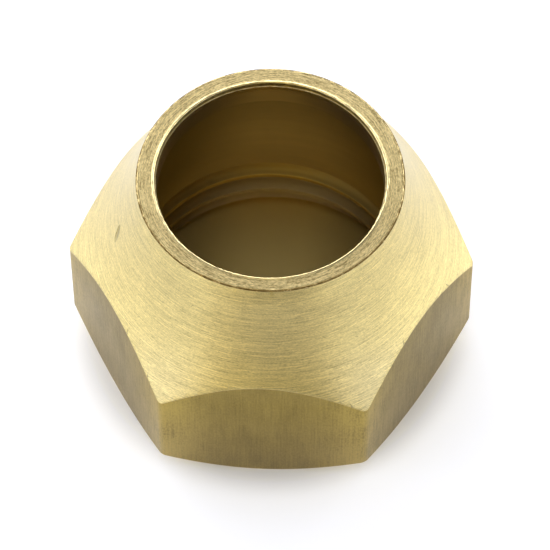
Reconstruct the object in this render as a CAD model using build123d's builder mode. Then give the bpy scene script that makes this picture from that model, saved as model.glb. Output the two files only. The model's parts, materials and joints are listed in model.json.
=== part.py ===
# Hexagon compression nut for a 15 mm tube, turned in one piece from a brass hexagon bar.
#
# The nut stands on its open threaded end. Its axis is +Z, the foot is at z = 0 and two
# of the six flats face -Y and +Y, so that two corners point along -X and +X.
# The thread itself is not cut here: its place is the smooth wall at the tapping size.

import os
from math import pi, radians, sqrt, tan

from build123d import *

os.makedirs("parts", exist_ok=True)

# ---------------------------------------------------------------- sizes in millimetres

# hexagon bar
across_flats = 24.0
hex_edge_radius = 0.55
overall_height = 18.0

# turned collar above the flats
end_face_diameter = 17.8
collar_foot_height = 8.3  # where the sweep would reach the sharp corners of the bar
collar_sweep_radius = 26.0  # hollow sweep, seen in section

# turned chamfer under the flats
foot_face_diameter = 23.8
foot_chamfer_angle = 38.0  # from the foot's plane, in degrees

# tube bore through the end face
tube_diameter = 15.0
tube_clearance = 0.2  # on the diameter
bore_mouth_chamfer = 0.22
bore_land_length = 1.8

# seat that presses the sealing ring, from the land out to the tapping wall
seat_angle = 45.0  # from the axis, in degrees

# parallel pipe thread, 1/2 inch nominal
thread_major_diameter = 20.955
thread_minor_diameter = 18.631
thread_entry_clearance = 0.2  # of the entry chamfer past the major diameter
thread_entry_angle = 45.0  # from the axis, in degrees

# ---------------------------------------------------------------- worked-out sizes

flat_distance = across_flats / 2
sharp_corner_radius = across_flats / sqrt(3)
end_face_radius = end_face_diameter / 2
foot_face_radius = foot_face_diameter / 2
foot_chamfer_height = (sharp_corner_radius - foot_face_radius) * tan(radians(foot_chamfer_angle))

bore_radius = (tube_diameter + tube_clearance) / 2
mouth_radius = bore_radius + bore_mouth_chamfer
mouth_height = overall_height - bore_mouth_chamfer
seat_top_height = mouth_height - bore_land_length

tapping_radius = thread_minor_diameter / 2
seat_foot_height = seat_top_height - (tapping_radius - bore_radius) / tan(radians(seat_angle))
entry_radius = (thread_major_diameter + thread_entry_clearance) / 2
entry_height = (entry_radius - tapping_radius) / tan(radians(thread_entry_angle))

# ---------------------------------------------------------------- the nut

with BuildPart() as nut_body:
    # the length of hexagon bar, with its drawn corners slightly rounded
    with BuildSketch(Plane.XY):
        RegularPolygon(radius=flat_distance, side_count=6, major_radius=False)
    extrude(amount=overall_height)
    fillet(nut_body.edges().filter_by(Axis.Z), radius=hex_edge_radius)

    # outside turning: foot chamfer below, hollow sweep up to the end face
    with BuildSketch(Plane.XZ):
        with BuildLine():
            Polyline(
                (end_face_radius, overall_height),
                (0, overall_height),
                (0, 0),
                (foot_face_radius, 0),
                (sharp_corner_radius, foot_chamfer_height),
                (sharp_corner_radius, collar_foot_height),
            )
            RadiusArc(
                (sharp_corner_radius, collar_foot_height),
                (end_face_radius, overall_height),
                collar_sweep_radius,
            )
        make_face()
    revolve(axis=Axis.Z, mode=Mode.INTERSECT)

    # inside turning: entry chamfer, tapping wall, seat, bore land and mouth chamfer
    with BuildSketch(Plane.XZ):
        with BuildLine():
            Polyline(
                (0, 0),
                (entry_radius, 0),
                (tapping_radius, entry_height),
                (tapping_radius, seat_foot_height),
                (bore_radius, seat_top_height),
                (bore_radius, mouth_height),
                (mouth_radius, overall_height),
                (0, overall_height),
                close=True,
            )
        make_face()
    revolve(axis=Axis.Z, mode=Mode.SUBTRACT)

nut_body.part.label = "nut_body"
export_step(nut_body.part, "parts/nut_body.step")

print("volume mm3", round(nut_body.part.volume, 2))
print("brass mass g", round(nut_body.part.volume * 8.5 / 1000, 2))
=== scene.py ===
import json
from math import atan2, cos, hypot, pi, radians, sin, sqrt, tan

import bpy
from mathutils import Matrix, Vector


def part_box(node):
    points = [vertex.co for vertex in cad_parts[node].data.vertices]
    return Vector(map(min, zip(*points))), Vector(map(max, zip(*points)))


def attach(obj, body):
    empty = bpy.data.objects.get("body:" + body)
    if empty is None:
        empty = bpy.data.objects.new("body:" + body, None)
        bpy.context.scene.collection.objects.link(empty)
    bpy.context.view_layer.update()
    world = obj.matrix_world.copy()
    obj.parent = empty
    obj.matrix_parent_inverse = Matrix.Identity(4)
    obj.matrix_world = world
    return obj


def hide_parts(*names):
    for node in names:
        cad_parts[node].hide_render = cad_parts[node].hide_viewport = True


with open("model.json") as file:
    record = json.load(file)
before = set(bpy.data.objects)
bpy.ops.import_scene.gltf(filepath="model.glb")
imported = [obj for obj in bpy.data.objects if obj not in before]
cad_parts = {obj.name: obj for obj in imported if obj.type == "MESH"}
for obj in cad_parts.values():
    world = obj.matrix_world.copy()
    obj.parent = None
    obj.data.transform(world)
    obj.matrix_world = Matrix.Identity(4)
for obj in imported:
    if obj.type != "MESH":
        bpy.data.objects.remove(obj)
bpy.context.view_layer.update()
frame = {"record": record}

# A turned brass compression nut, standing on its threaded end on a pale studio floor.
# All sizes are in metres: the axis is Z, and two of the flats face -Y and +Y.

mm = 0.001


def freshStart():
    if bpy.context.object and bpy.context.object.mode != "OBJECT":
        bpy.ops.object.mode_set(mode="OBJECT")
    bpy.ops.object.select_all(action="DESELECT")


def onlyThis(piece):
    freshStart()
    piece.select_set(True)
    bpy.context.view_layer.objects.active = piece


def pickEdges(piece, test):
    # selects the edges that pass the test, and stays in edit mode
    bpy.ops.object.mode_set(mode="EDIT")
    bpy.ops.mesh.select_mode(type="EDGE")
    bpy.ops.mesh.select_all(action="DESELECT")
    bpy.ops.object.mode_set(mode="OBJECT")
    points = piece.data.vertices
    for edge in piece.data.edges:
        start, end = (points[corner].co for corner in edge.key)
        edge.select = test(edge, start, end)
    bpy.ops.object.mode_set(mode="EDIT")


def cut(piece, tool, operation):
    onlyThis(piece)
    step = piece.modifiers.new("cut", "BOOLEAN")
    step.operation = operation
    step.solver = "MANIFOLD"
    step.object = tool
    bpy.ops.object.modifier_apply(modifier=step.name)
    bpy.data.objects.remove(tool, do_unlink=True)


def drawOutline(name, points):
    # a closed chain of edges in the XZ plane, drawn point by point from (radius, height) pairs
    freshStart()
    bpy.ops.mesh.primitive_plane_add(size=mm)
    outline = bpy.context.object
    outline.name = name
    bpy.ops.object.mode_set(mode="EDIT")
    bpy.ops.mesh.select_mode(type="VERT")
    bpy.ops.mesh.select_all(action="SELECT")
    bpy.ops.mesh.merge(type="CENTER")
    startRadius, startHeight = points[0]
    bpy.ops.transform.translate(value=(startRadius, 0, startHeight))
    for (radius, height), (nextRadius, nextHeight) in zip(points, points[1:]):
        step = (nextRadius - radius, 0, nextHeight - height)
        bpy.ops.mesh.extrude_region_move(TRANSFORM_OT_translate={"value": step})
    bpy.ops.mesh.select_all(action="DESELECT")
    bpy.ops.object.mode_set(mode="OBJECT")
    corners = [corner for edge in outline.data.edges for corner in edge.vertices]
    for vertex in outline.data.vertices:
        vertex.select = corners.count(vertex.index) == 1     # the chain's two loose ends
    bpy.ops.object.mode_set(mode="EDIT")
    bpy.ops.mesh.select_mode(type="VERT")
    bpy.ops.mesh.edge_face_add()
    bpy.ops.object.mode_set(mode="OBJECT")
    return outline


def fromTo(start, end, steps):
    # points along a straight line, without its first one
    return [
        (start[0] + (end[0] - start[0]) * i / steps, start[1] + (end[1] - start[1]) * i / steps)
        for i in range(1, steps + 1)
    ]


nut = {
    "hexEdgeRadius": 0.55 * mm,
    "hexEdgeSegments": 7,
    "collarFootHeight": 8.3 * mm,      # where the sweep would reach the bar's sharp corners
    "collarSweepRadius": 26.0 * mm,
    "collarRows": 24,
    "endFaceRadius": 8.9 * mm,
    "footFaceRadius": 11.9 * mm,
    "footChamferAngle": radians(38),   # from the foot's plane
    "boreMouthChamfer": 0.22 * mm,     # the solid's, which the bead and the burr stand in for
    "seatAngle": radians(45),
    "threadMajorRadius": 10.4775 * mm,
    "threadEntryClearance": 0.1 * mm,
    "faceFall": 0.05 * mm,             # the end face's outer edge is this far below the bead
    "faceRows": 10,
    "lipHeight": 0.16 * mm,            # torn edge left standing round the end face
    "lipInset": 0.035 * mm,            # how far it stands back from the collar
    "lipUndercut": 0.015 * mm,
    "lipProfile": [(0.005, 0.045), (0.015, 0.025), (0.04, 0.008), (0.08, 0.0)],  # mm in, mm down
    "lipWander": 0.2 * mm,             # how much its foot rises and falls
    "lipTrim": 0.19 * mm,              # the end face is this much shorter at the front
    "trimStart": 0.5 * mm,             # inside the lip, and how quickly it comes in
    "trimFade": 0.4 * mm,
    "trimDepth": 1.0 * mm,             # how far down the collar it is blended out
    "mouthWidth": 0.29 * mm,           # raised bead round the mouth of the bore
    "mouthDepth": 0.34 * mm,
    "beadHeight": 0.035 * mm,
    "beadProfile": [                   # shares of the width inward and of the depth down
        (0.10, 0.07), (0.20, 0.02), (0.28, 0.0), (0.36, 0.01), (0.47, 0.05), (0.58, 0.13),
        (0.65, 0.24), (0.69, 0.6), (0.71, 1.0),
    ],
    "burrWidth": 0.075 * mm,           # burr left at the bead's foot
    "burrFall": 0.01 * mm,
    "landFall": 0.02 * mm,
    "landFlare": 0.05 * mm,            # the land opens out by this toward the mouth
    "landFlareDepth": 0.5 * mm,
    "softEdge": 0.04 * mm,             # edge between the collar and the flats
    "softEdgeWeld": 0.03 * mm,
    "flatsMargin": 0.3 * mm,           # no turned inside reaches this near to the flats
    "turnSteps": 640,
    "overrun": 0.7 * mm,               # how far the turned blank reaches past the corners
    "barLonger": 4.0 * mm,
    "lipRagged": 0.09 * mm,            # how far the torn edges wander
    "mouthRagged": 0.05 * mm,
    "faceRagged": 0.02 * mm,
    "raggedGrain": 0.36 * mm,
    "dent": {
        "azimuth": radians(-78),       # from the front, positive to the right
        "height": 13.88 * mm,
        "width": 0.47 * mm,
        "length": 1.3 * mm,
        "depth": 0.10 * mm,
        "slant": radians(29),
    },
}
mounts = {mount["name"]: mount["dims"] for mount in frame["record"]["mounts"]}
low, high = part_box("nut_body")
nut["height"] = high.z
nut["acrossFlats"] = high.y - low.y
nut["cornerRadius"] = nut["acrossFlats"] / sqrt(3)
nut["boreRadius"] = mounts["tube_bore"]["r_mm"] * mm
nut["boreLandLength"] = mounts["tube_bore"]["length_mm"] * mm
nut["tappingRadius"] = mounts["thread"]["r_mm"] * mm
nut["flatsFrom"] = nut["acrossFlats"] / 2 - nut["flatsMargin"]


def collarRadiusAt(height):
    # the hollow sweep is an arc from the end face out to the sharp corners' circle
    topR, topZ = nut["endFaceRadius"], nut["height"]
    footR, footZ = nut["cornerRadius"], nut["collarFootHeight"]
    run, drop = footR - topR, topZ - footZ
    chord = hypot(run, drop)
    rise = sqrt(nut["collarSweepRadius"] ** 2 - (chord / 2) ** 2)
    centreR = (topR + footR) / 2 + rise * drop / chord
    centreZ = (topZ + footZ) / 2 + rise * run / chord
    return centreR - sqrt(nut["collarSweepRadius"] ** 2 - (height - centreZ) ** 2)


def blankOutline():
    # half the turned section, from the foot's inner edge round the outside and back
    height = nut["height"]
    outerR = nut["cornerRadius"] + nut["overrun"]
    chamferTop = (outerR - nut["footFaceRadius"]) * tan(nut["footChamferAngle"])
    entryR = nut["threadMajorRadius"] + nut["threadEntryClearance"]
    entryTop = entryR - nut["tappingRadius"]
    mouthR = nut["boreRadius"] + nut["mouthWidth"]
    mouthZ = height - nut["boreMouthChamfer"]
    seatTop = mouthZ - nut["boreLandLength"]
    seatFoot = seatTop - (nut["tappingRadius"] - nut["boreRadius"]) / tan(nut["seatAngle"])
    lipFoot = height - nut["lipHeight"]

    points = [(entryR, 0.0)]
    points += fromTo(points[-1], (nut["footFaceRadius"], 0.0), steps=4)
    points += fromTo(points[-1], (outerR, chamferTop), steps=3)

    lowest = nut["collarFootHeight"] - nut["overrun"]
    for row in range(nut["collarRows"] + 1):
        z = lowest + (lipFoot - lowest) * row / nut["collarRows"]
        points.append((collarRadiusAt(z), z))

    # the torn lip and the end face
    lipR = nut["endFaceRadius"] - nut["lipInset"]
    faceZ = height - nut["faceFall"]
    points.append((lipR - nut["lipUndercut"], lipFoot))
    for inward, down in nut["lipProfile"]:
        points.append((lipR - inward * mm, faceZ - down * mm))
    points += fromTo(points[-1], (mouthR, height - nut["beadHeight"]), steps=nut["faceRows"])

    # the bead at the mouth, with its burr
    for inward, down in nut["beadProfile"]:
        points.append((mouthR - inward * nut["mouthWidth"], height - down * nut["mouthDepth"]))
    burrR = points[-1][0] - nut["burrWidth"]
    burrZ = height - nut["mouthDepth"] - nut["burrFall"]
    points.append((burrR, burrZ))

    # the flared land, the seat, the wall and the entry
    points.append((nut["boreRadius"] + nut["landFlare"], burrZ - nut["landFall"]))
    for share in (0.25, 0.5, 0.75, 1.0):
        closed = nut["landFlare"] * (1 - share) ** 2
        z = burrZ - nut["landFall"] - share * nut["landFlareDepth"]
        points.append((nut["boreRadius"] + closed, z))
    points += fromTo(points[-1], (nut["boreRadius"], seatTop), steps=4)
    points += fromTo(points[-1], (nut["tappingRadius"], seatFoot), steps=3)
    points += fromTo(points[-1], (nut["tappingRadius"], entryTop), steps=12)
    points += fromTo(points[-1], (entryR, 0.0), steps=2)[:-1]
    return points


def turnBlank():
    blank = drawOutline("turnedBlank", blankOutline())
    onlyThis(blank)
    bpy.ops.object.mode_set(mode="EDIT")
    bpy.ops.mesh.select_all(action="SELECT")
    bpy.ops.mesh.spin(steps=nut["turnSteps"], angle=2 * pi, center=(0, 0, 0), axis=(0, 0, 1))
    bpy.ops.mesh.select_all(action="SELECT")
    bpy.ops.mesh.remove_doubles(threshold=0.0005 * mm)
    bpy.ops.mesh.normals_make_consistent(inside=False)
    bpy.ops.object.mode_set(mode="OBJECT")
    return blank


def hexagonBar():
    # a length of drawn bar with two flats square to Y, its upright edges rounded
    freshStart()
    length = nut["height"] + nut["barLonger"]
    bpy.ops.mesh.primitive_cylinder_add(
        vertices=6,
        radius=nut["cornerRadius"],
        depth=length,
        location=(0, 0, nut["height"] / 2),
        rotation=(0, 0, radians(30)),
    )
    bar = bpy.context.object
    bar.name = "hexagonBar"
    bpy.ops.object.transform_apply(location=True, rotation=True, scale=True)
    pickEdges(bar, lambda edge, start, end: abs(start.z - end.z) > length / 2)
    setBack = nut["hexEdgeRadius"] * tan(radians(30))
    bpy.ops.mesh.bevel(offset=setBack, segments=nut["hexEdgeSegments"], profile=0.5)
    bpy.ops.object.mode_set(mode="OBJECT")
    return bar


def isUpright(normalZ):
    return abs(normalZ) < 0.03


def softenEdges(piece):
    # a narrow bevel where the turned surfaces meet the flats
    slopes = {}
    for face in piece.data.polygons:
        for key in face.edge_keys:
            slopes.setdefault(key, []).append(face.normal.z)

    def leavesFlat(edge, start, end):
        sides = slopes[edge.key]
        middle = (start + end) / 2
        across = len(sides) == 2 and isUpright(sides[0]) != isUpright(sides[1])
        return across and hypot(middle.x, middle.y) > nut["flatsFrom"]

    pickEdges(piece, leavesFlat)
    bpy.ops.mesh.remove_doubles(threshold=nut["softEdgeWeld"])
    bpy.ops.mesh.bevel(offset=nut["softEdge"], segments=2, profile=0.5, clamp_overlap=False)
    bpy.ops.object.mode_set(mode="OBJECT")


thread = {
    "pitch": 25.4 / 14 * mm,
    "endHeight": 6.9 * mm,     # middle of the groove where it ends, at the back
    "runOutTurns": 0.9,
    "turns": 5,
    "stepsPerTurn": 120,
    "rootFlat": 0.18,          # shares of the pitch
    "openWidth": 0.95,
    "openRadius": 9.1 * mm,
}


def threadCutter():
    # a right-hand groove that climbs the wall and fades out over its last turn
    half = thread["pitch"] / 2
    openR, rootR = thread["openRadius"], nut["threadMajorRadius"]
    start = thread["endHeight"] - thread["turns"] * thread["pitch"]
    outline = [
        (openR, start - half * thread["openWidth"]),
        (rootR, start - half * thread["rootFlat"]),
        (rootR, start + half * thread["rootFlat"]),
        (openR, start + half * thread["openWidth"]),
    ]
    cutter = drawOutline("threadCutter", outline)
    onlyThis(cutter)
    bpy.ops.object.mode_set(mode="EDIT")
    bpy.ops.mesh.select_all(action="SELECT")
    bpy.ops.transform.rotate(value=-pi / 2, orient_axis="Z", center_override=(0, 0, 0))
    bpy.ops.object.mode_set(mode="OBJECT")
    step = cutter.modifiers.new("climb", "SCREW")
    step.axis = "Z"
    step.angle = 2 * pi
    step.screw_offset = thread["pitch"]
    step.iterations = thread["turns"]
    step.steps = thread["stepsPerTurn"]
    step.render_steps = thread["stepsPerTurn"]
    bpy.ops.object.modifier_apply(modifier=step.name)
    bpy.ops.object.mode_set(mode="EDIT")
    bpy.ops.mesh.select_all(action="SELECT")
    bpy.ops.mesh.fill_holes(sides=8)
    bpy.ops.mesh.normals_make_consistent(inside=False)
    bpy.ops.object.mode_set(mode="OBJECT")
    depth = rootR - openR
    for vertex in cutter.data.vertices:
        x, y, z = vertex.co
        radius = hypot(x, y)
        angle = atan2(-x, y)
        turn = (z - thread["endHeight"]) / thread["pitch"]
        turn = round(turn - angle / (2 * pi)) + angle / (2 * pi)
        faded = min(max(1 + turn / thread["runOutTurns"], 0), 1)
        scale = (radius - depth * faded) / radius
        vertex.co.x *= scale
        vertex.co.y *= scale
    return cutter


def dentFrame():
    # where the knock lies on the collar: across it, along it and outwards, in half sizes
    dent = nut["dent"]
    rise = 0.01 * mm
    slope = (collarRadiusAt(dent["height"] - rise) - collarRadiusAt(dent["height"] + rise)) / (2 * rise)
    radius = collarRadiusAt(dent["height"])
    outward = Vector((sin(dent["azimuth"]), -cos(dent["azimuth"]), slope)).normalized()
    place = Vector((radius * sin(dent["azimuth"]), -radius * cos(dent["azimuth"]), dent["height"]))
    size = Matrix.Diagonal((dent["width"] / 2, dent["length"] / 2, dent["depth"], 1))
    turn = outward.to_track_quat("Z", "Y").to_matrix().to_4x4()
    slant = Matrix.Rotation(dent["slant"], 4, "Z")
    return Matrix.Translation(place) @ turn @ slant @ size


def dentCutter():
    # a small slanted knock on the left of the collar
    freshStart()
    bpy.ops.mesh.primitive_uv_sphere_add(segments=24, ring_count=16, radius=1.0)
    cutter = bpy.context.object
    cutter.name = "dentCutter"
    cutter.matrix_world = dentFrame()
    bpy.ops.object.transform_apply(location=True, rotation=True, scale=True)
    return cutter


def roughen(piece, name, direction, amount, middle, test):
    # wanders the vertices that pass the test with a cloud pattern, as torn metal does
    onlyThis(piece)
    group = piece.vertex_groups.new(name=name)
    group.add([v.index for v in piece.data.vertices if test(hypot(v.co.x, v.co.y), v.co.z)], 1, "ADD")
    clouds = bpy.data.textures.new(name, "CLOUDS")
    clouds.noise_scale = nut["raggedGrain"]
    clouds.noise_depth = 3
    step = piece.modifiers.new(name, "DISPLACE")
    step.vertex_group = name
    step.direction = direction
    step.texture = clouds
    step.texture_coords = "LOCAL"
    step.strength = amount
    step.mid_level = middle
    bpy.ops.object.modifier_apply(modifier=step.name)
    piece.vertex_groups.remove(piece.vertex_groups[name])


def tearEdges(piece):
    top = nut["height"]
    faceEdge = top - nut["faceFall"]
    lipFoot = top - nut["lipHeight"]
    mouthFoot = top - nut["mouthDepth"]
    lipR = nut["endFaceRadius"] - nut["lipInset"]
    mouthR = nut["boreRadius"] + nut["mouthWidth"]
    nearly = 0.005 * mm     # a vertex this close to a height or a radius is on it
    beside = 0.05 * mm
    around = 0.07 * mm
    roughen(
        piece, "lipFoot", "Z", nut["lipWander"], 0.5,
        lambda r, z: abs(r - lipR) < around and lipFoot - nearly < z < lipFoot + nearly,
    )
    roughen(
        piece, "lip", "NORMAL", nut["lipRagged"], 0.55,
        lambda r, z: r > lipR - beside and lipFoot + nearly < z < faceEdge - nearly,
    )
    roughen(
        piece, "mouth", "NORMAL", nut["mouthRagged"], 0.5,
        lambda r, z: r < mouthR - nearly and mouthFoot - beside < z < top - nearly,
    )
    roughen(
        piece, "endFace", "Z", nut["faceRagged"], 1.0,
        lambda r, z: mouthR + nearly < r < lipR and z > faceEdge - nearly,
    )
    # the end face's edge is drawn in at the front, fading out down the collar
    for vertex in piece.data.vertices:
        vertex.co.z = min(vertex.co.z, top)
        radius = hypot(vertex.co.x, vertex.co.y)
        if vertex.co.y < 0 and radius > lipR - nut["trimStart"]:
            outer = min((radius - lipR + nut["trimStart"]) / nut["trimFade"], 1)
            upper = min(max((vertex.co.z - lipFoot + nut["trimDepth"]) / nut["trimDepth"], 0), 1)
            vertex.co.y -= vertex.co.y / radius * outer * upper * nut["lipTrim"]


def buildNut():
    piece = turnBlank()
    print("blank turned,", len(piece.data.polygons), "faces")
    cut(piece, hexagonBar(), "INTERSECT")
    print("flats cut,", len(piece.data.polygons), "faces")
    softenEdges(piece)
    cut(piece, threadCutter(), "DIFFERENCE")
    print("thread cut,", len(piece.data.polygons), "faces")
    cut(piece, dentCutter(), "DIFFERENCE")
    tearEdges(piece)
    print("edges torn,", len(piece.data.polygons), "faces")
    piece.name = "compression_nut"
    piece.data.name = "compression_nut"
    return piece


class Signal:  # a socket on its way through a node tree; sums on it add nodes
    def __init__(self, tree, socket=None):
        self.tree = tree
        self.socket = socket

    def node(self, kind, settings, inputs, output=0):
        # settings come first, because some of them change the sockets
        made = self.tree.nodes.new(kind)
        for name, value in settings.items():
            if name == "stops":
                setStops(made.color_ramp, value)
            else:
                setattr(made, name, value)
        for key, value in inputs.items():
            if isinstance(value, Signal):
                self.tree.links.new(value.socket, made.inputs[key])
            else:
                made.inputs[key].default_value = value
        if output is None:
            return None
        if isinstance(output, tuple):
            return [Signal(self.tree, made.outputs[key]) for key in output]
        return Signal(self.tree, made.outputs[output])

    def math(self, operation, first, second=0.0):
        return self.node("ShaderNodeMath", {"operation": operation}, {0: first, 1: second})

    def __add__(self, other):
        return self.math("ADD", self, other)

    def __radd__(self, other):
        return self.math("ADD", other, self)

    def __sub__(self, other):
        return self.math("SUBTRACT", self, other)

    def __rsub__(self, other):
        return self.math("SUBTRACT", other, self)

    def __mul__(self, other):
        return self.math("MULTIPLY", self, other)

    def __rmul__(self, other):
        return self.math("MULTIPLY", other, self)

    def __truediv__(self, other):
        return self.math("DIVIDE", self, other)

    def __rtruediv__(self, other):
        return self.math("DIVIDE", other, self)

    def size(self):
        return self.math("ABSOLUTE", self)

    def root(self):
        return self.math("SQRT", self)

    def band(self, start, end):
        # 0 before start and 1 after end, eased between them
        settings = {"interpolation_type": "SMOOTHSTEP"}
        return self.node("ShaderNodeMapRange", settings, {0: self, 1: start, 2: end})

    def blend(self, dark, light):
        # from one colour to the other as this goes from 0 to 1
        settings = {"data_type": "RGBA", "clamp_factor": True}
        return self.node("ShaderNodeMix", settings, {0: self, 6: dark, 7: light}, output=2)


def setStops(ramp, stops):
    while len(ramp.elements) < len(stops):
        ramp.elements.new(0.5)
    for element, (place, value) in zip(ramp.elements, stops):
        element.position = place
        element.color = (value, value, value, 1)


def emptyTree(owner):
    # clears a material's or a world's nodes and gives a first signal to build on
    owner.use_nodes = True
    owner.node_tree.nodes.clear()
    return Signal(owner.node_tree)


def coordinates(start):
    # the piece's own coordinates, in millimetres: x, y, z, radius
    place = start.node("ShaderNodeTexCoord", {}, {}, "Object")
    inMm = start.node("ShaderNodeVectorMath", {"operation": "SCALE"}, {0: place, "Scale": 1 / mm})
    x, y, z = start.node("ShaderNodeSeparateXYZ", {}, {0: inMm}, (0, 1, 2))
    return x, y, z, (x * x + y * y).root()


def noise(x, y, z, detail, roughness):
    vector = x.node("ShaderNodeCombineXYZ", {}, {0: x, 1: y, 2: z})
    inputs = {"Vector": vector, "Scale": 1.0, "Detail": detail, "Roughness": roughness}
    return x.node("ShaderNodeTexNoise", {}, inputs)


def streaks(spot, around, across, detail=3.0, roughness=0.6, lean=0.0):
    # noise drawn out round the axis, as a lathe tool leaves it; across is per millimetre
    x, y, z, radius = spot
    level = z - radius + x / radius * lean
    return noise(x / radius * around, y / radius * around, level * across, detail, roughness)


def drawn(spot, across, along, detail=3.0, roughness=0.6):
    # noise drawn out along the axis, as the die leaves it on the bar
    x, y, z, radius = spot
    return noise(x * across, y * across, z * along, detail, roughness)


def metal(look, tone, relief, paintedShading=None):
    # tone mixes the two colours and the two roughnesses, relief is the bump's height, and the last mask
    # blends the colour toward one painted for light or shade
    colour = tone.blend(look["dark"], look["light"])
    if paintedShading:
        colour = paintedShading.blend(colour, look["paintedShading"])
    raised = {"Strength": look["bump"], "Distance": look["bumpHeight"], "Height": relief}
    inputs = {
        "Base Color": colour,
        "Roughness": tone * (look["roughLight"] - look["roughDark"]) + look["roughDark"],
        "Normal": relief.node("ShaderNodeBump", {}, raised),
        "Metallic": 1.0,
        "Specular Tint": look["edgeTint"],
        "Anisotropic": look["anisotropic"],
        "Anisotropic Rotation": look["grain"],
    }
    if "coat" in look:
        inputs["Coat Weight"] = look["coat"]
        inputs["Coat Roughness"] = look["coatRoughness"]
        inputs["Coat IOR"] = look["coatIor"]
    if "paintedShadingCoat" in look:
        inputs["Coat Weight"] = paintedShading * (look["paintedShadingCoat"] - look["coat"]) + look["coat"]
    shader = tone.node("ShaderNodeBsdfPrincipled", {}, inputs)
    tone.node("ShaderNodeOutputMaterial", {}, {0: shader}, output=None)


# In the finishes, light and dark are the two ends of the brass's tone, edgeTint is its gloss at
# a glancing look, and a mark's around and across say how fine it is along and over the tool's run.

acrossTheGrain = 0.25   # turned grooves run round the axis, so the gloss spreads up and down
alongTheGrain = 0.0     # drawn lines run up the bar, so the gloss spreads sideways

turnedBrass = {
    "dark": (0.35, 0.272, 0.076, 1),
    "light": (0.88, 0.692, 0.235, 1),
    "paintedShading": (0.36, 0.30, 0.14, 1),   # painted shade in the knock, which also has less of the clear coat
    "paintedShadingCoat": 0.15,
    "edgeTint": (1.0, 1.0, 1.0, 1),
    "roughDark": 0.44,
    "roughLight": 0.34,
    "anisotropic": 0.9,
    "grain": acrossTheGrain,
    "coat": 1.0,
    "coatRoughness": 0.30,
    "coatIor": 1.5,
    "bump": 0.12,
    "bumpHeight": 0.004 * mm,
    "rings": {"around": 3.5, "across": 13.0, "detail": 2.0},
    "hair": {"around": 12.0, "across": 14.0, "detail": 2.0, "lean": 0.1},
    "grains": {"around": 70.0, "across": 11.0, "detail": 1.0},
    "pits": {"around": 42.0, "across": 9.0, "detail": 2.0},
    "glints": {"around": 6.0, "across": 15.0, "detail": 2.0, "lean": 0.1},
    "pitted": (0.66, 0.72),          # how rare the pits and the glints are
    "glinting": (0.60, 0.68),
    "knockFade": (0.2, 1.5),         # squares of the distance from its middle, in half sizes
    "knockSide": (4.0, 5.0),         # only this far to the left
}


def turnedFinish(spot):
    # the collar: fine rings and hair lines, with a few small pits and one knock
    look = turnedBrass
    x, y, z, radius = spot
    rings = streaks(spot, **look["rings"])
    hair = streaks(spot, **look["hair"])
    grains = streaks(spot, **look["grains"])
    pits = streaks(spot, **look["pits"]).band(*look["pitted"])
    glints = streaks(spot, **look["glints"]).band(*look["glinting"])
    lines = (rings - 0.5) * 1.2 + (hair - 0.5) * 0.9 + (grains - 0.5) * 0.9 + glints * 0.35
    across, along = [
        x * (row[0] * mm) + y * (row[1] * mm) + z * (row[2] * mm) + row[3]
        for row in dentFrame().inverted()[:2]
    ]
    # painted shade: the knock's hollow is darkened in colour, and its clear coat thinned
    knock = 1 - (across * across + along * along).band(*look["knockFade"])
    knock = knock * (0 - x).band(*look["knockSide"])
    metal(look, lines + 0.5 - pits * 0.5, rings * 0.6 + hair * 0.4, knock)


facedBrass = {
    "dark": (0.31, 0.228, 0.072, 1),
    "light": (0.92, 0.715, 0.285, 1),
    "edgeTint": (1.0, 1.0, 1.0, 1),
    "roughDark": 0.6,
    "roughLight": 0.42,
    "anisotropic": 0.4,
    "grain": acrossTheGrain,
    "coat": 0.3,
    "coatRoughness": 0.4,
    "coatIor": 1.4,
    "bump": 0.6,
    "bumpHeight": 0.01 * mm,
    "torn": {"around": 38.0, "across": 13.0, "detail": 2.0},
    "rings": {"around": 6.0, "across": 12.0, "detail": 2.0, "lean": 0.2},
    "dashes": {"around": 26.0, "across": 3.0, "detail": 2.0},
    "dashed": (0.45, 0.55),
    "grooveShadeFrom": (8.74, 8.79),      # radii of a broken groove's painted shade just inside the edge
    "grooveShadeTo": (8.80, 8.84),
    "paintedEdgeHighlight": (8.82, 8.86),
}


def facedFinish(spot):
    # the end face: short torn marks round the axis
    look = facedBrass
    radius = spot[3]
    torn = streaks(spot, **look["torn"])
    rings = streaks(spot, **look["rings"])
    dashes = streaks(spot, **look["dashes"]).band(*look["dashed"])
    # painted shade of a broken groove just inside the edge
    groove = radius.band(*look["grooveShadeFrom"]) - radius.band(*look["grooveShadeTo"])
    tone = (torn - 0.5) * 2.0 + (rings - 0.5) * 2.0 + 0.50
    # painted highlight along the end face's outer edge
    tone = tone + radius.band(*look["paintedEdgeHighlight"]) * 0.8 - groove * dashes * 0.9
    metal(look, tone, torn)


rimBrass = {
    "dark": (0.55, 0.43, 0.19, 1),
    "light": (0.93, 0.74, 0.31, 1),
    "edgeTint": (1.0, 0.92, 0.7, 1),
    "roughDark": 0.4,
    "roughLight": 0.28,
    "anisotropic": 0.3,
    "grain": acrossTheGrain,
    "bump": 0.5,
    "bumpHeight": 0.01 * mm,
    "patches": {"around": 10.0, "across": 4.0, "roughness": 0.7},
    "bright": (0.35, 0.55),
}

shadedStepBrass = {
    "dark": (0.18, 0.135, 0.05, 1),
    "light": (0.38, 0.29, 0.11, 1),
    "edgeTint": (1.0, 0.9, 0.6, 1),
    "roughDark": 0.5,
    "roughLight": 0.35,
    "anisotropic": 0.3,
    "grain": acrossTheGrain,
    "bump": 0.5,
    "bumpHeight": 0.01 * mm,
    "patches": {"around": 14.0, "across": 5.0, "roughness": 0.7},
    "bright": (0.4, 0.65),
}

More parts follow.
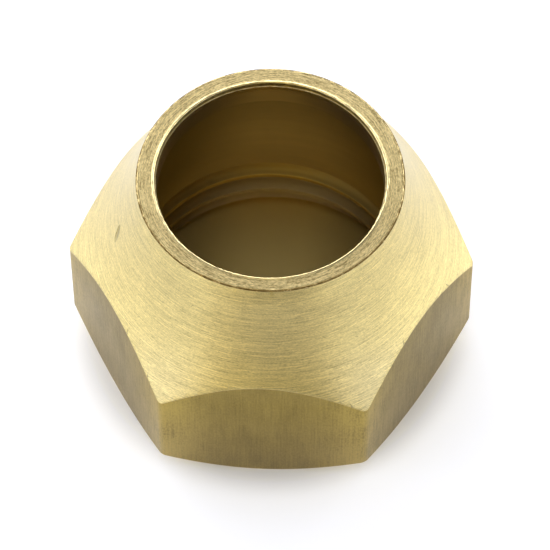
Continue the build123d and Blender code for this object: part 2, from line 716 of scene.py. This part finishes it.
shadedLipBrass = {
    "dark": (0.36, 0.26, 0.09, 1),
    "light": (0.90, 0.70, 0.30, 1),
    "edgeTint": (1.0, 0.9, 0.7, 1),
    "roughDark": 0.6,
    "roughLight": 0.35,
    "anisotropic": 0.0,
    "grain": acrossTheGrain,
    "bump": 0.6,
    "bumpHeight": 0.02 * mm,
    "patches": {"around": 24.0, "across": 5.0, "roughness": 0.7},
    "bright": (0.52, 0.70),
}


def patchyFinish(look, spot):
    patches = streaks(spot, **look["patches"])
    metal(look, patches.band(*look["bright"]), patches)


def rimFinish(spot):
    # the burnished bead at the mouth of the bore, and the burr below it, where they face up; painted
    # lighter than the steep side, as its lit copy
    patchyFinish(rimBrass, spot)


def shadedStepFinish(spot):
    # the steep inner side of the bead: painted shade, a darker copy of the bead's brass
    patchyFinish(shadedStepBrass, spot)


def shadedLipFinish(spot):
    # the torn edge under the end face: painted dark as the shade under the edge, with bright tips
    patchyFinish(shadedLipBrass, spot)


boredBrass = {
    "dark": (0.27, 0.20, 0.085, 1),
    "light": (0.74, 0.56, 0.285, 1),
    "paintedShading": (0.95, 0.75, 0.28, 1),
    "paintedShadingHeights": (17.0, 17.75),    # painted light: the land grows brighter toward the mouth
    "edgeTint": (1.0, 0.9, 0.6, 1),
    "roughDark": 0.20,
    "roughLight": 0.17,
    "anisotropic": 0.9,
    "grain": acrossTheGrain,
    "bump": 0.04,
    "bumpHeight": 0.004 * mm,
    "rings": {"around": 1.5, "across": 3.0},
    "sideFrom": 0.06,                # x as a share of the radius
    "sides": (0.15, 0.95),
    "seatHeights": (15.9, 16.1),
    "underSeat": (8.5, 13.5),
    "sideHeights": (5.0, 9.5),       # painted shade: the sides are darker above these
}


def boredFinish(spot):
    # land, seat and wall: painted shade darkens the sides and under the seat
    look = boredBrass
    x, y, z, radius = spot
    rings = streaks(spot, **look["rings"])
    sideShade = (x / radius - look["sideFrom"]).size().band(*look["sides"])
    land = z.band(*look["seatHeights"])
    underSeatShade = z.band(*look["underSeat"]) - land
    shade = z.band(*look["sideHeights"]) * 0.62 + 0.48 - land * 0.25
    # painted light up the land toward the mouth, less at the sides
    paintedShading = z.band(*look["paintedShadingHeights"]) * (1 - sideShade * 0.6)
    metal(look, (rings * 0.3 + 0.7) * (1 - sideShade * shade) * (1 - underSeatShade * 0.47), rings, paintedShading)


threadBrass = {
    "dark": (0.36, 0.245, 0.06, 1),
    "light": (0.95, 0.68, 0.175, 1),
    "paintedShading": (1.0, 0.86, 0.50, 1),
    "paintedShadingHeights": (1.5, 4.3),       # painted light: duller and paler toward the foot, away from the sides
    "edgeTint": (1.0, 0.85, 0.5, 1),
    "roughDark": 0.75,
    "roughLight": 0.38,
    "anisotropic": 0.6,
    "grain": acrossTheGrain,
    "bump": 0.2,
    "bumpHeight": 0.01 * mm,
    "stains": {"around": 1.2, "across": 2.5},
    "sides": (0.15, 0.9),
    "footShadeHeights": (2.5, 4.5),             # heights over which the painted shade toward the foot lifts
    "crest": (9.32, 9.38),           # radii: painted shade on the flank, from the crest
    "groove": (9.45, 9.85),          # to where the groove deepens
}


def threadFinish(spot):
    # the thread: duller, with stains of dried cutting oil, and painted shade on the flanks, at the
    # sides and toward the foot
    look = threadBrass
    x, y, z, radius = spot
    stains = streaks(spot, **look["stains"])
    sideShade = (x / radius).size().band(*look["sides"])
    paintedShading = (1 - z.band(*look["paintedShadingHeights"])) * (1 - sideShade)
    flankShade = radius.band(*look["crest"]) - radius.band(*look["groove"])
    # painted shade at the sides, toward the foot and on the flanks near the crest
    tone = (stains * 0.3 + 0.7) * (1 - sideShade * 0.5) * (z.band(*look["footShadeHeights"]) * 0.6 + 0.4)
    metal(look, tone * (1 - flankShade * 0.5), stains, paintedShading)


drawnBrass = {
    "dark": (0.265, 0.185, 0.026, 1),
    "light": (0.40, 0.283, 0.048, 1),
    "paintedShading": (0.58, 0.42, 0.085, 1),
    "paintedShadingRadii": (12.1, 13.9),       # painted light: the flats grow brighter toward the corners, darker in their middles
    "edgeTint": (1.0, 1.0, 1.0, 1),
    "roughDark": 0.48,
    "roughLight": 0.40,
    "anisotropic": 0.5,
    "grain": alongTheGrain,
    "coat": 0.46,
    "coatRoughness": 0.32,
    "coatIor": 1.5,
    "bump": 0.2,
    "bumpHeight": 0.004 * mm,
    "lines": {"across": 8.0, "along": 0.3, "detail": 2.0},
    "clouds": {"across": 0.5, "along": 0.3, "detail": 2.0},
    "specks": {"across": 8.0, "along": 4.0, "detail": 2.0},
}


def drawnFinish(spot):
    # the flats: the dull skin of the bar, with faint lines up it and corners painted brighter
    look = drawnBrass
    radius = spot[3]
    lines = drawn(spot, **look["lines"])
    clouds = drawn(spot, **look["clouds"])
    specks = drawn(spot, **look["specks"])
    tone = (lines - 0.5) * 1.6 + (clouds - 0.5) * 1.4 + (specks - 0.5) * 1.6 + 0.56
    # painted light toward the corners, leaving painted shade in the middle of each flat
    paintedShading = radius.band(*look["paintedShadingRadii"]) * tone.band(-0.5, 1.0)
    metal(look, tone, lines * 0.6 + specks * 0.4, paintedShading)


finishes = {
    "turnedBrass": turnedFinish,
    "facedBrass": facedFinish,
    "rimBrass": rimFinish,
    "shadedStepBrass": shadedStepFinish,
    "shadedLipBrass": shadedLipFinish,
    "boredBrass": boredFinish,
    "threadBrass": threadFinish,
    "drawnBrass": drawnFinish,
}


def zoneOf(middle, normal):
    # which tool made the face at this place
    top = nut["height"]
    slack = 0.03 * mm
    radius = hypot(middle.x, middle.y)
    mouthR = nut["boreRadius"] + nut["mouthWidth"]
    mouthZ = top - nut["mouthDepth"] - 0.04 * mm
    insideR = nut["threadMajorRadius"] + nut["threadEntryClearance"]
    facesAxis = normal.x * middle.x + normal.y * middle.y < 0
    if middle.z > mouthZ and radius < mouthR:
        return "rimBrass" if normal.z > 0.6 else "shadedStepBrass"
    if middle.z > top - nut["faceFall"] - slack and normal.z > 0.4:
        return "facedBrass"
    if middle.z > top - nut["lipHeight"] - slack and mouthR < radius < nut["endFaceRadius"] + slack:
        return "shadedLipBrass"
    if radius < insideR and facesAxis:
        crestTop = thread["endHeight"] - thread["pitch"]
        threadTop = crestTop if isUpright(normal.z) else thread["endHeight"]
        return "threadBrass" if middle.z < threadTop else "boredBrass"
    if isUpright(normal.z) and radius > nut["flatsFrom"]:
        return "drawnBrass"
    if radius < insideR and 0.01 * mm < middle.z < thread["endHeight"] + thread["pitch"]:
        return "threadBrass"
    return "turnedBrass"


def paintZones(piece):
    piece.data.materials.clear()
    for name, finish in finishes.items():
        material = bpy.data.materials.new(name)
        finish(coordinates(emptyTree(material)))
        piece.data.materials.append(material)
    slots = list(finishes)
    for face in piece.data.polygons:
        face.material_index = slots.index(zoneOf(face.center, face.normal))
    print("finishes painted,", len(slots))


studio = {
    "floorSize": 3.0,
    "floorColour": (0.88, 0.875, 0.825, 1),
    "paintedBounceLight": (1.0, 0.82, 0.31, 1),     # painted light: seen down the bore, the brass-coloured light off the walls
    "paintedBounceLightDim": (0.60, 0.48, 0.17, 1),    # the same painted light, dimmer away from the middle
    "besideFrom": (1.5, 7.0),                # mm over which one turns into the other
    "insideRadius": (10.7, 11.0),            # mm, under the nut's foot
    "floorLift": 0.36,
    "mirroredLift": 0.1,                     # share of it that polished metal shows
    "liftRadius": (11.6, 14.6),              # mm over which the lift comes in, round the shadow
    # brightness of the sky by azimuth from the front in degrees, positive to the right:
    # one ring near the horizon, one above it, and an even cap over both
    "lowRing": [
        (-180, 5.3), (-150, 4.65), (-120, 4.3), (-90, 3.9), (-60, 2.75), (-46, 3.0), (-38, 2.5),
        (-31, 1.8), (-23, 1.05), (-15, 0.65), (0, 0.25), (15, 0.5), (23, 0.65), (30, 1.15),
        (38, 2.3), (46, 2.95), (60, 3.2), (90, 5.2), (120, 5.95), (150, 5.6), (180, 5.3),
    ],
    "highRing": [
        (-180, 1.95), (-150, 2.45), (-120, 2.3), (-90, 1.55), (-60, 1.4), (-30, 1.45), (0, 0.9),
        (30, 0.45), (60, 0.1), (90, 0.0), (120, 0.55), (150, 0.95), (180, 1.95),
    ],
    "brightest": 8.0,                        # what 1 on a ring's ramp stands for
    "cap": 0.86,
    "highRingFrom": (0.20, 0.50),            # sines of elevation
    "highRingTo": (0.60, 0.85),
    "capFrom": (0.88, 0.97),
    "warm": (1.0, 0.89, 0.55, 1),            # from the front, within warmTurn degrees
    "cool": (0.96, 1.01, 1.26, 1),
    "warmTurn": (15, 50),
}


def buildFloor():
    freshStart()
    bpy.ops.mesh.primitive_plane_add(size=studio["floorSize"], location=(0, 0, 0))
    floor = bpy.context.object
    floor.name = "studio_floor"
    material = bpy.data.materials.new("paleFloor")
    start = emptyTree(material)
    x, y, z, radius = coordinates(start)
    # painted light: the floor under the nut takes the brass colour of the light off the walls
    inside = x.size().band(*studio["besideFrom"]).blend(studio["paintedBounceLight"], studio["paintedBounceLightDim"])
    within = 1 - radius.band(*studio["insideRadius"])
    matte = start.node(
        "ShaderNodeBsdfDiffuse", {}, {"Color": within.blend(studio["floorColour"], inside)}
    )
    # lifted toward white where it is looked at, and a little where polished metal shows it
    rays = ("Is Camera Ray", "Is Glossy Ray", "Is Transmission Ray")
    seen, mirrored, through = start.node("ShaderNodeLightPath", {}, {}, rays)
    shown = seen + (mirrored + through) * studio["mirroredLift"]
    lift = shown * radius.band(*studio["liftRadius"]) * studio["floorLift"]
    glow = start.node("ShaderNodeEmission", {}, {"Color": lift, "Strength": 1.0})
    both = start.node("ShaderNodeAddShader", {}, {0: matte, 1: glow})
    start.node("ShaderNodeOutputMaterial", {}, {0: both}, output=None)
    floor.data.materials.append(material)


def buildWorld():
    world = bpy.data.worlds.new("studio")
    bpy.context.scene.world = world
    start = emptyTree(world)
    direction = start.node("ShaderNodeTexCoord", {}, {}, "Generated")
    x, y, z = start.node("ShaderNodeSeparateXYZ", {}, {0: direction}, (0, 1, 2))
    turn = x.math("ARCTAN2", x, y * -1.0) / (2 * pi) + 0.5
    rings = []
    for name in ("lowRing", "highRing"):
        stops = [(azimuth / 360 + 0.5, value / studio["brightest"]) for azimuth, value in studio[name]]
        shares = turn.node("ShaderNodeValToRGB", {"stops": stops}, {0: turn})
        rings.append(shares * studio["brightest"])
    lowRing, highRing = rings
    above = z.band(*studio["highRingFrom"])
    over = z.band(*studio["highRingTo"])
    cap = z.band(*studio["capFrom"]) * studio["cap"]
    sky = lowRing * (1 - above) + highRing * (above - over) + cap
    warmStart, warmEnd = (degree / 360 for degree in studio["warmTurn"])
    tint = (turn - 0.5).size().band(warmStart, warmEnd).blend(studio["warm"], studio["cool"])
    seen = start.node("ShaderNodeLightPath", {}, {}, "Is Camera Ray")
    shown = {"Color": seen.blend(tint, (1, 1, 1, 1)), "Strength": sky * (1 - seen) + seen}
    back = start.node("ShaderNodeBackground", {}, shown)
    start.node("ShaderNodeOutputWorld", {}, {0: back}, output=None)


camera = {
    "aim": Vector((0.261, -0.041, 6.0)) * mm,
    "azimuth": radians(2.975),
    "elevation": radians(58.03),
    "roll": radians(0.394),
    "distance": 279.3 * mm,
    "lens": 266.1,
    "sensorWidth": 36,
    "clipStart": 0.01,
}


def buildCamera():
    freshStart()
    turn, lift = camera["azimuth"], camera["elevation"]
    back = Vector((sin(turn) * cos(lift), -cos(turn) * cos(lift), sin(lift)))
    bpy.ops.object.camera_add(location=camera["aim"] + back * camera["distance"])
    eye = bpy.context.object
    eye.name = "studio_camera"
    eye.rotation_mode = "QUATERNION"
    level = (-back).to_track_quat("-Z", "Y")
    eye.rotation_quaternion = level @ Matrix.Rotation(-camera["roll"], 4, "Z").to_quaternion()
    eye.data.lens = camera["lens"]
    eye.data.sensor_width = camera["sensorWidth"]
    eye.data.clip_start = camera["clipStart"]
    bpy.context.scene.camera = eye


piece = buildNut()
paintZones(piece)
onlyThis(piece)
bpy.ops.object.shade_smooth_by_angle(angle=radians(30))
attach(piece, "root")
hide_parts("nut_body")

buildFloor()
buildWorld()
buildCamera()
bpy.context.scene.view_settings.view_transform = "Standard"
print("floor, light and camera set")
